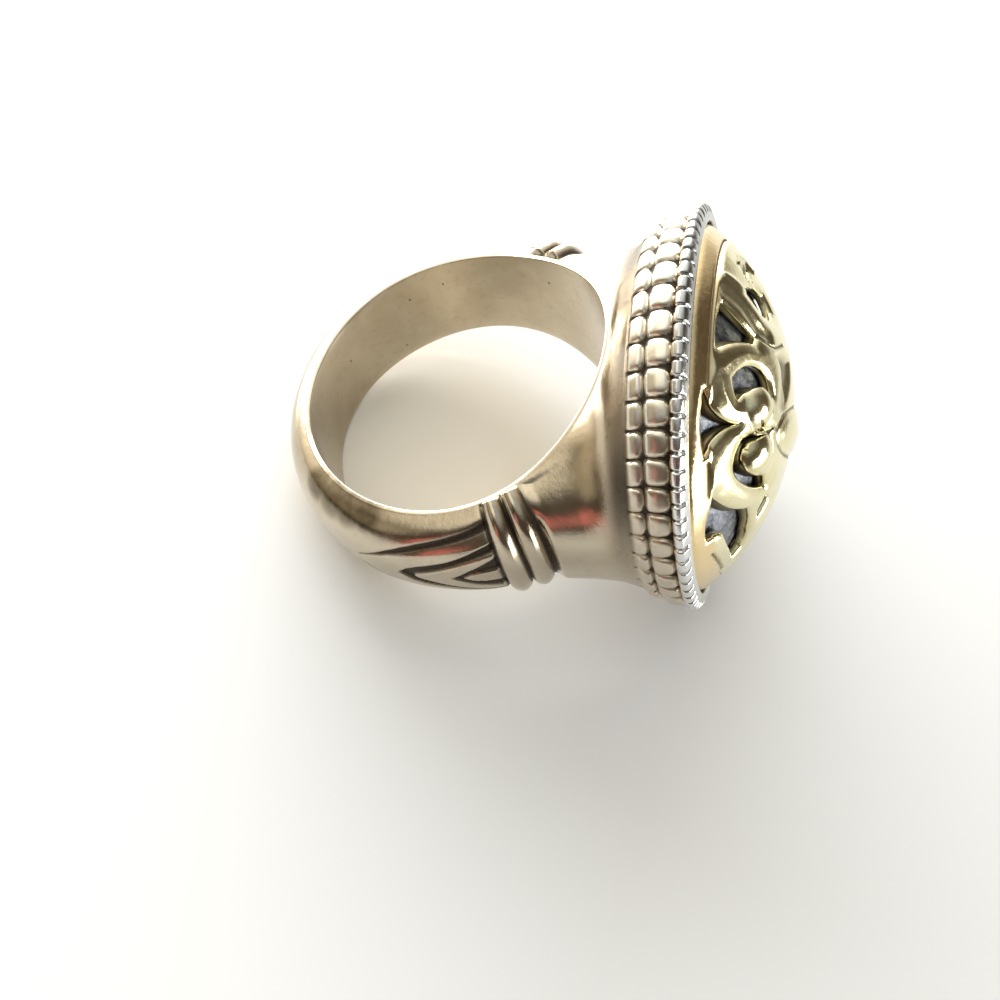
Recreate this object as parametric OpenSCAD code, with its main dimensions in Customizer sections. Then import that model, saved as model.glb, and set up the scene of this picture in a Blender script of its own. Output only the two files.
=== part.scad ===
// Two-tone dress ring: a silver band with a flared round head, two rows of
// scales and a beaded rim, and a pierced gold dome over a dark domed plate.
// Millimetres. The ring lies on its side, head along +X, floor at Z = 0.

/* [Finger hole and band] */
// finger hole diameter
bore_d = 17.3; // [16.5:0.1:17.9]
// half-width of the band at its edge: mean, then how much it swells to the head, in waves round the hole
edge_wave = [3.70, 1.30, 0.56, 0.24]; // [mean 3 to 5, the swells 0 to 1.5 each]
// width of the flat edge face beside the finger hole
edge_flat = 0.32; // [0.2:0.02:0.45]
// band thickness at the crown: [angle from the head, thickness]
crown_table = [[0, 2.2], [18, 2.4], [36, 4.4], [42, 5.55], [44, 5.5], [46, 5.05], [50, 4.2], [54, 3.5], [55.8, 3.15], [57, 2.52], [70, 2.5], [90, 2.3], [120, 2.1], [150, 1.9], [180, 1.8]]; // [angles rising from 0 to 180, thickness 1.2 to 5.6]
// fullness of the D-shaped section: [flatness of the crown, roundness of the sides]
section_shape = [2.4, 0.55]; // [flatness 2 to 4, roundness 0.4 to 0.8]

/* [Shoulder wires] */
// angles from the head where the two wires on each shoulder start, meet and end
wire_angles = [57, 63.5, 70]; // [rising, 56 to 80]
// how far a wire stands out of the band
wire_height = 0.42; // [0.2:0.02:0.6]

/* [Flared head] */
// sections of the flare: [distance from the finger axis, half-length across, half-width, squareness]
flare_table = [
    [ 6.8, 9.88, 5.00, 2.72],
    [ 7.5, 9.87, 5.22, 2.60],
    [ 8.2, 9.87, 5.46, 2.45],
    [ 8.75, 9.87, 5.68, 2.35],
    [ 9.2, 9.88, 6.40, 2.25],
    [ 9.6, 9.90, 7.20, 2.15],
    [10.1, 9.92, 8.25, 2.08],
    [10.5, 9.94, 9.18, 2.03],
    [10.95, 9.95, 9.92, 2.00],
    [11.3, 9.60, 9.60, 2.00]]; // [distances rising from 6.8 to 11.3, sizes 5 to 10, squareness 2 to 3]
// rings round the head: [distance from the finger axis, radius of the ring, radius of its round]
ring_table = [[11.20, 9.85, 0.48], [12.22, 10.02, 0.63], [13.22, 10.38, 0.47]]; // [distance 11 to 13.4, radius 9.5 to 10.6, round 0.4 to 0.7]
// scales in each of the two rows
scale_count = 46; // [30:1:60]
// radius of the round groove between two scales
scale_groove = 0.17; // [0.1:0.01:0.22]
// beads round the rim
bead_count = 78; // [60:1:90]
// radius of the notch between two beads
bead_notch = 0.13; // [0.08:0.01:0.16]
// inside radius of the hollow cup at its mouth
cup_r = 8.6; // [8:0.1:8.9]
// inside radius of the hollow cup at its floor
cup_floor_r = 6.4; // [4:0.1:7]
// where the hollow of the cup starts, from the finger axis
cup_floor = 10.1; // [9.8:0.1:10.6]
// where the cup's straight wall starts, from the finger axis
cup_wall_x = 11.1; // [11:0.01:11.2]
// where the seat of the dome is, from the finger axis
seat_x = 13.0; // [12.8:0.05:13.2]
// diameter of the round opening from the finger hole into the cup
under_d = 6.4; // [4:0.1:8]

/* [Gold dome] */
// sphere radius of the dome
dome_r = 13.14; // [12.6:0.01:15]
// how far the dome's top is from the finger axis
dome_top = 17.95; // [17.6:0.05:18.6]
// outside radius of the dome's edge
dome_edge_r = 9.86; // [9.7:0.01:9.9]
// thickness of the gold
dome_wall = 0.6; // [0.4:0.05:0.9]
// angle that turns the pattern to the camera side
pattern_turn = 125.5; // [0:0.5:360]
// border line: [radius, width, depth]
border_line = [8.9, 0.12, 0.14]; // [radius 8.7 to 9.3, width and depth 0.05 to 0.3]
// raised petal in the middle: [side offset, length, width, rise]
petal = [-1.15, 7.4, 2.3, 0.2]; // [offset -2 to 2, length 5 to 8, width 1.5 to 3, rise 0.1 to 0.4]
// domed lobes between the scrolls: [side, out, radius, rise]
lobe_table = [[-2.12, 5.42, 1.06, 0.34], [-0.08, 5.70, 1.10, 0.34]]; // [radius 0.8 to 1.2, rise 0.2 to 0.4]
// opening near the rim in front of the lobes; its corners: [side, out, bulge of the edge to the next corner]
rim_tip = [[-0.72, 7.20, -0.18], [0.98, 9.04, 0.09], [-2.24, 8.78, -0.18]]; // [corners inside the border line, bulge -0.3 to 0.3]
// opening beside the right scroll
right_tip = [[3.22, 5.35, 0], [3.60, 4.95, -0.06], [5.22, 6.60, 0.09], [2.90, 8.02, -0.08]]; // [corners inside the border line, bulge -0.3 to 0.3]
// opening beside the left scroll, with a tail along the border
left_tip = [[-5.08, 4.62, -0.10], [-4.30, 7.52, 0.10], [-6.50, 6.40, -0.12], [-6.30, 5.30, 0.04], [-8.05, 0.90, 0], [-7.78, 0.80, 0.02], [-6.95, 2.90, -0.05]]; // [corners inside the border line, bulge -0.3 to 0.3]
// crescent round the right lobe
right_crescent = [[0.70, 4.30, 0.20], [2.12, 5.70, 0.13], [1.50, 7.46, 0.06], [0.42, 7.22, -0.18]]; // [corners inside the border line, bulge -0.3 to 0.3]
// crescent round the left lobe, with a tail between the lobes
left_crescent = [[-3.93, 3.30, -0.07], [-3.55, 6.10, -0.26], [-1.50, 6.72, -0.06], [-1.18, 4.90, 0.06], [-1.66, 6.36, 0.22], [-3.02, 5.98, 0.05], [-3.34, 3.85, 0]]; // [corners inside the border line, bulge -0.3 to 0.3]
// slit beside the right lobe
lobe_slit = [[-1.06, 4.85, 0.02], [-0.42, 6.15, 0.16]]; // [corners inside the border line, bulge -0.3 to 0.3]
// half-oval opening towards the right edge
right_oval = [[5.58, 1.30, 0.09], [5.55, 4.75, 0.23]]; // [corners inside the border line, bulge -0.3 to 0.3]
// small leaf-shaped opening near the right edge
right_spot = [[7.20, 1.75, 0.14], [6.62, 3.05, 0.10]]; // [corners inside the border line, bulge -0.3 to 0.3]
// small opening on the left
left_spot = [[-5.70, 1.90, 0], [-4.70, 1.50, 0.05], [-4.50, 2.75, 0.05], [-5.15, 2.88, 0.03]]; // [corners inside the border line, bulge -0.3 to 0.3]
// shallow hollow beside the petal: corners as above, and its depth
hollow = [[0.35, 2.95, 0.10], [2.55, 0.90, 0.12], [2.75, 3.75, -0.12]]; // [corners inside the border line, bulge -0.3 to 0.3]
// depth of the hollow
hollow_depth = 0.22; // [0.05:0.01:0.4]

/* [Dark plate] */
// gap between the gold and the plate under it
plate_gap = 0.12; // [0.05:0.01:0.3]
// thickness of the plate
plate_wall = 0.5; // [0.3:0.05:0.8]
// gap where pieces touch
fit_gap = 0.05; // [0.02:0.01:0.08]

/* [Resting on its side] */
// tilt of the head's axis above the floor
rest_tilt = 20.63; // [0:0.05:40]
// lift that puts the lowest point on the floor
rest_lift = 5.752; // [4:0.001:12]
// shift that centres the length on the origin
rest_shift = -3.879; // [-8:0.001:2]

/* [Hidden] */
bore_r = bore_d / 2;
dome_c = dome_top - dome_r;

// ---- shapes that follow a rule ----
function edge_half(a) = edge_wave[0] + edge_wave[1] * cos(a) + edge_wave[2] * cos(2 * a) + edge_wave[3] * cos(3 * a);
function from_head(a) = a > 180 ? 360 - a : a;
function wire_bump(h) = let (i = h < wire_angles[1] ? 0 : 1, f = (h - wire_angles[i]) / (wire_angles[i + 1] - wire_angles[i]))
    (h <= wire_angles[0] || h >= wire_angles[2]) ? 0 : wire_height * pow(sin(180 * f), 0.6);
function crown(a) = let (h = from_head(a)) lookup(h, crown_table) + wire_bump(h);
// one D-shaped section of the band at angle a, from the lower edge round the crown to the upper edge
function band_section(a, n = 14) = let (h = edge_half(a), t = crown(a) - edge_flat) concat(
    [[bore_r - 0.5, -h]],
    [for (i = [0 : n]) let (s = sin(-90 + 180 * i / n))
        [bore_r + edge_flat + t * pow(max(0, 1 - pow(abs(s), section_shape[0])), section_shape[1]), s * h]],
    [[bore_r - 0.5, h]]);
function around(sec, a) = [for (p = sec) [p[0] * cos(a), p[0] * sin(a), p[1]]];
// angles of the sections: close together where the wires are
function wire_steps(a0, a1, n) = [for (i = [0 : n - 1]) a0 + (a1 - a0) * i / n];
side_steps = concat(wire_steps(6, 36, 5), wire_steps(36, 54, 6), [54, 55.8], wire_steps(wire_angles[0], wire_angles[1], 6),
    wire_steps(wire_angles[1], wire_angles[2], 6), wire_steps(wire_angles[2], 180, 15));
band_angles = concat([0], side_steps, [180], [for (i = [len(side_steps) - 1 : -1 : 0]) 360 - side_steps[i]]);
function spow(v, e) = sign(v) * pow(abs(v), e);
function flare_section(row, n = 60) = [for (i = [0 : n - 1]) let (a = -360 * i / n)
    [row[0], row[1] * spow(cos(a), 2 / row[3]), row[2] * spow(sin(a), 2 / row[3])]];

// closed skin through a list of sections that have the same number of points; a loop joins the last to the first
module skin(secs, loop = false) {
    m = len(secs[0]);
    k = len(secs);
    last = loop ? k - 1 : k - 2;
    polyhedron(
        points = [for (s = secs) each s],
        faces = concat(
            loop ? [] : [[for (j = [m - 1 : -1 : 0]) j], [for (j = [0 : m - 1]) (k - 1) * m + j]],
            [for (i = [0 : last]) for (j = [0 : m - 1]) let (n = (i + 1) % k * m, c = (j + 1) % m) each [[i * m + j, i * m + c, n + c], [i * m + j, n + c, n + j]]]),
        convexity = 6);
}

// puts a shape that was made standing on Z onto the head's axis
module on_head() { rotate([0, 90, 0]) children(); }
// puts a pattern drawn from above onto the dome: X is across, Y is out to the camera side
module on_dome() { on_head() rotate([0, 0, pattern_turn]) children(); }

// ---- silver ring: band, wires, flare, scales and beads in one soldered piece ----
module band() { skin([for (a = band_angles) around(band_section(a), a)], loop = true); }

module flare() { skin([for (r = flare_table) flare_section(r)]); }

// the wall of the cup with its three rounded rings
module cup() {
    on_head() rotate_extrude($fn = 144) {
        translate([0, cup_wall_x]) square([ring_table[0][1], seat_x - cup_wall_x]);
        for (r = ring_table) translate([r[1], r[0]]) circle(r = r[2], $fn = 40);
    }
}

// grooves that part the scales, one for both rows, and the notches between the beads
module head_grooves() {
    r0 = ring_table[0][1] + ring_table[0][2];
    r1 = ring_table[1][1] + ring_table[1][2];
    lean = atan((r1 - r0) / (ring_table[1][0] - ring_table[0][0]));
    for (i = [0 : scale_count - 1]) rotate([360 * (i + 0.5) / scale_count, 0, 0])
        translate([10.65, 0, r0 - 0.18]) rotate([0, 90 - lean, 0]) cylinder(r = scale_groove, h = 2.15, $fn = 16);
    for (i = [0 : bead_count - 1]) rotate([360 * (i + 0.5) / bead_count, 0, 0])
        translate([12.86, 0, ring_table[2][1] + ring_table[2][2]]) rotate([0, 90, 0]) cylinder(r = bead_notch, h = 1.2, $fn = 16);
}

module silver_ring() {
    color([0.80, 0.79, 0.76]) resting() difference() {
        union() {
            band();
            flare();
            cup();
        }
        cylinder(r = bore_r, h = 40, center = true, $fn = 144);
        on_head() rotate_extrude($fn = 96) polygon([[0, cup_floor], [cup_floor_r, cup_floor], [cup_r, cup_wall_x], [cup_r, 15], [0, 15]]);
        on_head() translate([0, 0, seat_x]) cylinder(r = dome_edge_r + fit_gap, h = 3, $fn = 96);
        on_head() translate([0, 0, bore_r - 1.5]) cylinder(d = under_d, h = 4, $fn = 64);
        head_grooves();
    }
}

// ---- dark plate: a thin domed sheet that closes the cup under the gold ----
module dark_plate() {
    r = dome_r - dome_wall - plate_gap;
    color([0.23, 0.25, 0.29]) resting() on_dome() intersection() {
        difference() {
            translate([0, 0, dome_c]) ball(r);
            translate([0, 0, dome_c]) ball(r - plate_wall);
        }
        translate([0, 0, seat_x + fit_gap]) cylinder(r = dome_edge_r, h = 8, $fn = 96);
    }
}

// ---- gold dome ----
// points along an outline whose edges bulge out, or in where the bulge is negative
function outline(t, n = 5) = [for (i = [0 : len(t) - 1]) let (p = t[i], q = t[(i + 1) % len(t)], dx = q[0] - p[0], dy = q[1] - p[1], m = p[2] == 0 ? 1 : n)
    for (j = [0 : m - 1]) let (f = j / m, k = 4 * p[2] * f * (1 - f)) [p[0] + f * dx + k * dy, p[1] + f * dy - k * dx]];
openings = [rim_tip, right_tip, left_tip, right_crescent, left_crescent, lobe_slit, right_oval, right_spot, left_spot];
module piercing() { for (t = openings) polygon(outline(t)); }
// both halves of the pattern: what the camera side shows, and its mirror image
module both_halves() {
    children();
    mirror([0, 1, 0]) children();
}
// a ball whose poles lie off the dome
module ball(r) { rotate([90, 0, 0]) sphere(r = r, $fn = 144); }
module gold_dome() {
    color([0.78, 0.66, 0.36]) resting() on_dome() difference() {
        union() {
            intersection() {
                translate([0, 0, dome_c]) ball(dome_r);
                translate([0, 0, seat_x + fit_gap]) cylinder(r = dome_edge_r, h = 8, $fn = 144);
            }
            intersection() {
                translate([0, 0, dome_c]) ball(dome_r + petal[3]);
                translate([petal[0] - petal_off, 0, seat_x + 1]) cylinder(r = petal_r, h = 8, $fn = 96);
                translate([petal[0] + petal_off, 0, seat_x + 1]) cylinder(r = petal_r, h = 8, $fn = 96);
            }
            both_halves() for (l = lobe_table) lobe(l);
        }
        translate([0, 0, dome_c]) ball(dome_r - dome_wall);
        both_halves() translate([0, 0, seat_x]) linear_extrude(height = 8) piercing();
        both_halves() difference() {
            translate([0, 0, seat_x]) linear_extrude(height = 8) polygon(outline(hollow));
            translate([0, 0, dome_c]) ball(dome_r - hollow_depth);
        }
        border();
    }
}
petal_r = (pow(petal[1] / 2, 2) + pow(petal[2] / 2, 2)) / petal[2];
petal_off = petal_r - petal[2] / 2;
// a lobe is the cap of a smaller sphere that stands a little out of the dome
module lobe(l) {
    s = (l[2] * l[2] + l[3] * l[3]) / (2 * l[3]);
    d = norm([l[0], l[1]]);
    out = dome_r + l[3] - s;
    translate([0, 0, dome_c]) rotate([0, 0, atan2(l[1], l[0])]) rotate([0, asin(d / dome_r), 0]) translate([0, 0, out]) ball(s);
}
module border() {
    z = dome_c + sqrt(dome_r * dome_r - border_line[0] * border_line[0]);
    rotate_extrude($fn = 144) translate([border_line[0], z]) rotate(-asin(border_line[0] / dome_r)) square([border_line[1], 2 * border_line[2]], center = true);
}

// lays the ring down on the rim of its head and the back of its band
module resting() { translate([rest_shift, 0, rest_lift]) rotate([0, -rest_tilt, 0]) children(); }

silver_ring();
dark_plate();
gold_dome();
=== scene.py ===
import math
import bpy
import bmesh
import numpy as np
from mathutils import Matrix, Vector
from mathutils.geometry import delaunay_2d_cdt


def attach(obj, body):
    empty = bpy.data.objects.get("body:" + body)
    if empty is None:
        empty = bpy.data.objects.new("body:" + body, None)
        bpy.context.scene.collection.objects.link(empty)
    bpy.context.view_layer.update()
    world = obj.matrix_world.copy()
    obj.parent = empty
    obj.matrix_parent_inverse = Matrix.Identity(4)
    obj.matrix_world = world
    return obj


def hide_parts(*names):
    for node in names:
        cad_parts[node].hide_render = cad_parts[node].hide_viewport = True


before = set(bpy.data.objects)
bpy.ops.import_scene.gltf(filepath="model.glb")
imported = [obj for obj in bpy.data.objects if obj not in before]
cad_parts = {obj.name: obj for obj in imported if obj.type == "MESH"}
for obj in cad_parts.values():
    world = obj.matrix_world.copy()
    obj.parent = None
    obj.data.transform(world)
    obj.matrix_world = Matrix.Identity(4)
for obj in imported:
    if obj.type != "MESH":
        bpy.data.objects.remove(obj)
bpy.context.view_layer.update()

rng = np.random.default_rng(7)

# ---------------------------------------------------------------------------
# Frame. Shapes are worked out in millimetres in the ring's own frame (x along
# the head's axis, z along the finger, origin in the middle of the finger hole)
# and laid down as the CAD model lies.
TILT = math.radians(20.63)
SHIFT, LIFT = -3.879, 5.752
CT, ST = math.cos(TILT), math.sin(TILT)


def laid(p):
    p = np.asarray(p, float)
    x, y, z = p[..., 0], p[..., 1], p[..., 2]
    return np.stack([x * CT - z * ST + SHIFT, y, x * ST + z * CT + LIFT], -1) * 1e-3


def turned(v):
    return Vector((v[0] * CT - v[2] * ST, v[1], v[0] * ST + v[2] * CT))


# ---------------------------------------------------------------------------
# Sizes, the same as in the CAD model.
BORE = 8.65
EDGE = 0.24            # flat edge left between the rounded corners
RIM_R = BORE + EDGE
WIRES = (57.0, 63.5, 70.0)
PATTERN_TURN = math.radians(125.5)
DOME_R, DOME_TOP, DOME_EDGE, DOME_WALL = 13.14, 17.95, 9.86, 0.6
DOME_C = DOME_TOP - DOME_R
SCALES, BEADS = 46, 78
CROWN = ((57, 2.50), (70, 2.50), (90, 2.30), (120, 2.10), (150, 1.90), (180, 1.80))


def smooth(x, a, b):
    t = np.clip((np.asarray(x, float) - a) / (b - a), 0, 1)
    return t * t * (3 - 2 * t)


def pchip(q, X, Y):
    X, Y, q = np.asarray(X, float), np.asarray(Y, float), np.asarray(q, float)
    h = np.diff(X)
    d = np.diff(Y) / h
    m = np.zeros_like(Y)
    m[0], m[-1] = d[0], d[-1]
    for i in range(1, len(X) - 1):
        if d[i - 1] * d[i] > 0:
            w1, w2 = 2 * h[i] + h[i - 1], h[i] + 2 * h[i - 1]
            m[i] = (w1 + w2) / (w1 / d[i - 1] + w2 / d[i])
    q = np.clip(q, X[0], X[-1])
    i = np.clip(np.searchsorted(X, q) - 1, 0, len(X) - 2)
    t = (q - X[i]) / h[i]
    return ((2 * t**3 - 3 * t**2 + 1) * Y[i] + (t**3 - 2 * t**2 + t) * h[i] * m[i]
            + (-2 * t**3 + 3 * t**2) * Y[i + 1] + (t**3 - t**2) * h[i] * m[i + 1])


def edge_half(deg):
    a = np.radians(deg)
    return 3.70 + 1.30 * np.cos(a) + 0.56 * np.cos(2 * a) + 0.24 * np.cos(3 * a)


def from_head(deg):
    d = np.abs((np.asarray(deg, float) + 180) % 360 - 180)
    return d


# ---------------------------------------------------------------------------
# Mesh making
class Soup:
    def __init__(self):
        self.v, self.f, self.ox, self.n = [], [], [], 0

    def add(self, pts, faces, ox=0.0):
        pts = np.asarray(pts, float).reshape(-1, 3)
        self.v.append(pts)
        self.ox.append(np.broadcast_to(np.asarray(ox, float).reshape(-1), (len(pts),)).copy()
                       if np.size(ox) > 1 else np.full(len(pts), float(ox)))
        for f in faces:
            self.f.append(np.asarray(f) + self.n)
        self.n += len(pts)

    def grid(self, P, wrap_u=False, wrap_v=False, ox=0.0, flip=False):
        U, V = P.shape[:2]
        i = np.arange(U if wrap_u else U - 1)[:, None]
        j = np.arange(V if wrap_v else V - 1)[None, :]
        i2, j2 = (i + 1) % U, (j + 1) % V
        q = np.stack([i * V + j, i2 * V + j, i2 * V + j2, i * V + j2], -1).reshape(-1, 4)
        if flip:
            q = q[:, ::-1]
        self.add(P, [q], ox)

    def make(self, name, weld=2e-4, recalc=True, reverse=False):
        v = np.concatenate(self.v)
        ox = np.concatenate(self.ox)
        key = np.round(v / weld).astype(np.int64)
        _, first, inv = np.unique(key, axis=0, return_index=True, return_inverse=True)
        inv = inv.reshape(-1)
        v, ox = v[first], ox[first]
        loops, starts, totals = [], [], []
        pos = 0
        for f in self.f:
            g = inv[f]
            k = g.shape[1]
            if k == 3:
                g = g[(g[:, 0] != g[:, 1]) & (g[:, 1] != g[:, 2]) & (g[:, 0] != g[:, 2])]
                loops.append(g.reshape(-1)); starts.append(pos + 3 * np.arange(len(g))); totals.append(np.full(len(g), 3))
                pos += 3 * len(g)
                continue
            same = np.stack([g[:, c] == g[:, (c + 1) % 4] for c in range(4)], 1)
            good = g[~same.any(1) & (g[:, 0] != g[:, 2]) & (g[:, 1] != g[:, 3])]
            loops.append(good.reshape(-1)); starts.append(pos + 4 * np.arange(len(good))); totals.append(np.full(len(good), 4))
            pos += 4 * len(good)
            one = same.sum(1) == 1
            if one.any():
                rows = []
                for r, s in zip(g[one], same[one]):
                    c = int(np.argmax(s))
                    tri = [r[(c + 1) % 4], r[(c + 2) % 4], r[(c + 3) % 4]]
                    if len(set(tri)) == 3:
                        rows.append(tri)
                if rows:
                    g = np.array(rows)
                    loops.append(g.reshape(-1)); starts.append(pos + 3 * np.arange(len(g))); totals.append(np.full(len(g), 3))
                    pos += 3 * len(g)
        loops = np.concatenate(loops).astype(np.int32)
        starts = np.concatenate(starts).astype(np.int32)
        totals = np.concatenate(totals).astype(np.int32)
        me = bpy.data.meshes.new(name)
        me.vertices.add(len(v))
        me.vertices.foreach_set("co", laid(v).astype(np.float32).reshape(-1))
        me.loops.add(len(loops))
        me.loops.foreach_set("vertex_index", loops)
        me.polygons.add(len(starts))
        me.polygons.foreach_set("loop_start", starts)
        me.polygons.foreach_set("loop_total", totals)
        me.update(calc_edges=True)
        me.validate()
        me.polygons.foreach_set("use_smooth", np.ones(len(me.polygons), bool))
        # per-point darkening that the materials read: oxide in grooves, cuts and hollows, and painted shade where parts
        # meet and down into recesses
        at = me.attributes.new("oxide", "FLOAT", "POINT")
        at.data.foreach_set("value", ox.astype(np.float32))
        if recalc:
            bm = bmesh.new()
            bm.from_mesh(me)
            bmesh.ops.recalc_face_normals(bm, faces=bm.faces)
            if reverse:
                bmesh.ops.reverse_faces(bm, faces=bm.faces)
            bm.to_mesh(me)
            bm.free()
        ob = bpy.data.objects.new(name, me)
        bpy.context.scene.collection.objects.link(ob)
        return ob


def normals(P, wrap_v=False):
    du = np.gradient(P, axis=0)
    dv = np.gradient(P, axis=1)
    n = np.cross(du, dv)
    n /= np.maximum(np.linalg.norm(n, axis=-1, keepdims=True), 1e-12)
    return n


def dist_poly(px, py, X, Y, closed=False):
    """Distance to a polyline, and where along it the nearest point is (0 to 1)."""
    X, Y = np.asarray(X, float), np.asarray(Y, float)
    if closed:
        X, Y = np.append(X, X[0]), np.append(Y, Y[0])
    best = np.full(px.shape, 1e9)
    where = np.zeros(px.shape)
    n = len(X) - 1
    for k in range(n):
        ax, ay, bx, by = X[k], Y[k], X[k + 1], Y[k + 1]
        dx, dy = bx - ax, by - ay
        L = dx * dx + dy * dy + 1e-12
        t = np.clip(((px - ax) * dx + (py - ay) * dy) / L, 0, 1)
        d = np.hypot(px - ax - t * dx, py - ay - t * dy)
        m = d < best
        best = np.where(m, d, best)
        where = np.where(m, (k + t) / n, where)
    return best, where


def inside_poly(px, py, X, Y):
    c = np.zeros(px.shape, bool)
    n = len(X)
    for k in range(n):
        x1, y1, x2, y2 = X[k], Y[k], X[(k + 1) % n], Y[(k + 1) % n]
        hit = ((y1 > py) != (y2 > py)) & (px < (x2 - x1) * (py - y1) / (y2 - y1 + 1e-15) + x1)
        c ^= hit
    return c


# ---------------------------------------------------------------------------
# Band: D-shaped section with the two shoulder wires and the engraved leaves.
# Curves of the leaves: (degrees from the head, side offset in mm); the other
# half of each leaf is its mirror image.
LINE = ((113.5, 0.46), (107.5, 1.07), (102.5, 1.54), (97.5, 1.90), (92.5, 2.19), (87.5, 2.39),
        (83.0, 2.56), (78.5, 2.72), (74.5, 2.88), (70.0, 3.08))
RIDGE = ((104.0, 1.15), (98.0, 1.50), (91.5, 1.76), (85.5, 1.94), (79.5, 2.14), (75.0, 2.26), (70.0, 2.44))
LEAF_UP = ((101.0, 0.0), (97.5, 0.60), (94.0, 0.93), (89.0, 1.20), (84.5, 1.44), (80.0, 1.74), (75.5, 2.06), (70.0, 2.38))
LEAF_LO = ((95.6, 0.0), (94.5, 0.20), (90.0, 0.52), (85.5, 0.88), (80.5, 1.25), (76.0, 1.50), (70.0, 1.78))
CORE_UP = ((85.0, 0.0), (81.5, 0.38), (79.0, 0.70), (76.0, 0.98), (73.0, 1.26), (70.0, 1.52))
CORE_LO = ((81.0, 0.0), (78.5, 0.28), (76.0, 0.40), (73.5, 0.46), (70.0, 0.50))
MM = math.radians(1) * 11.1


def leaf_relief(h, z):
    """Depth below the plain surface, in mm, and how dark it is, at h degrees from the head and z mm to the side."""
    x, y = h * MM, np.abs(z)
    depth = np.zeros_like(x)
    dark = np.zeros_like(x)

    def poly(up, lo):
        X = [p[0] * MM for p in up] + [p[0] * MM for p in reversed(lo)]
        Y = [p[1] for p in up] + [p[1] for p in reversed(lo)]
        return X, Y

    for up, lo, deep in ((LEAF_UP, LEAF_LO, 0.22), (CORE_UP, CORE_LO, 0.20)):
        X, Y = poly(up, lo)
        X[0] = X[0]
        d, _ = dist_poly(x, y, X[:len(up)], Y[:len(up)])
        d2, _ = dist_poly(x, y, X[len(up):], Y[len(up):])
        dd = np.minimum(d, d2)
        ins = inside_poly(x, y, X + [X[0]], Y + [Y[0]])
        s = np.where(ins, dd, -dd)
        depth = np.maximum(depth, deep * smooth(s, -0.05, 0.17))
        dark = np.maximum(dark, smooth(s, -0.03, 0.09))
        # a thin raised lip along the outer edge
        depth -= 0.025 * np.exp(-((s + 0.10) / 0.07) ** 2)
    X, Y = [p[0] * MM for p in LINE], [p[1] for p in LINE]
    d, w = dist_poly(x, y, X, Y)
    half = 0.055 + 0.13 * smooth(w, 0.0, 0.35)
    s = half - d
    depth = np.maximum(depth, 0.17 * smooth(s, -0.05, 0.12))
    dark = np.maximum(dark, smooth(s, -0.04, 0.07))
    # between the line and the ridge the leaf is hollowed
    ly = pchip(h, [p[0] for p in reversed(LINE)], [p[1] for p in reversed(LINE)])
    ry = pchip(h, [p[0] for p in reversed(RIDGE)], [p[1] for p in reversed(RIDGE)])
    f = np.clip((ly - y) / np.maximum(ly - ry, 0.05), 0, 1.0)
    hollow = np.where(y < ly, (1 - f) * 0.15, 0) * smooth(h, 112, 103)
    hollow += np.where(y >= ly, 0.06 * np.exp(-((y - ly) / 0.18) ** 2), 0) * smooth(h, 112, 103)
    depth = np.maximum(depth, hollow)
    end = smooth(h, 69.9, 70.6)
    return depth * end, dark * end


def section(deg, s):
    """Plain outside of the band: deg and s are arrays of one shape."""
    h = edge_half(deg)
    t = pchip(from_head(deg), *zip(*CROWN)) - EDGE
    e = 1 - np.abs(s)
    r = RIM_R + t * np.maximum(0, 1 - np.abs(s) ** 2.4) ** 0.55 * (1 - 0.9 * np.exp(-e / 0.030))
    a = np.radians(deg)
    return np.stack([r * np.cos(a), r * np.sin(a), s * h], -1)


NS = 110
S_ROW = np.sin(np.linspace(-math.pi / 2, math.pi / 2, NS + 1))
half_cols = np.concatenate([
    np.linspace(57, 70, 49)[:-1], np.linspace(70, 115, 159)[:-1], np.linspace(115, 180, 44)])
COLS = np.concatenate([half_cols, 360 - half_cols[::-1][1:]])


def band_outside():
    D, S = np.meshgrid(COLS, S_ROW, indexing="ij")
    P = section(D, S)
    N = normals(P)
    out = P[..., :2] / np.linalg.norm(P[..., :2], axis=-1, keepdims=True)
    flip = (N[..., 0] * out[..., 0] + N[..., 1] * out[..., 1]) < -0.2
    if flip.mean() > 0.5:
        N = -N
    H = from_head(D)
    taper = 1 - smooth(np.abs(S), 0.985, 1.0)
    # wires
    w = np.zeros_like(H)
    for k in (0, 1):
        f = (H - WIRES[k]) / (WIRES[k + 1] - WIRES[k])
        w += np.where((f > 0) & (f < 1), 0.44 * np.abs(np.sin(math.pi * np.clip(f, 0, 1))) ** 0.72, 0)
    w -= 0.10 * np.exp(-((H - 63.5) / 0.5) ** 2) + 0.12 * np.exp(-((H - 70.35) / 0.55) ** 2)
    w *= smooth(H, 57.0, 57.3)
    ox = np.zeros_like(H)
    for a0, wd in ((57.0, 0.75), (63.5, 0.62), (70.3, 0.75)):
        ox = np.maximum(ox, np.exp(-((H - a0) / wd) ** 2))
    ox *= 1 - smooth(np.abs(S), 0.955, 0.995)
    depth, dark = leaf_relief(H, P[..., 2])
    ox = np.maximum(ox, dark)
    return P + N * ((w * taper - depth * taper)[..., None]), ox


def bore_edge(deg, top):
    """The corner line where the flat edge ends."""
    a = np.radians(deg)
    z = edge_half(deg) * (1 if top else -1)
    return np.stack([RIM_R * np.cos(a), RIM_R * np.sin(a), z], -1)


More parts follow.
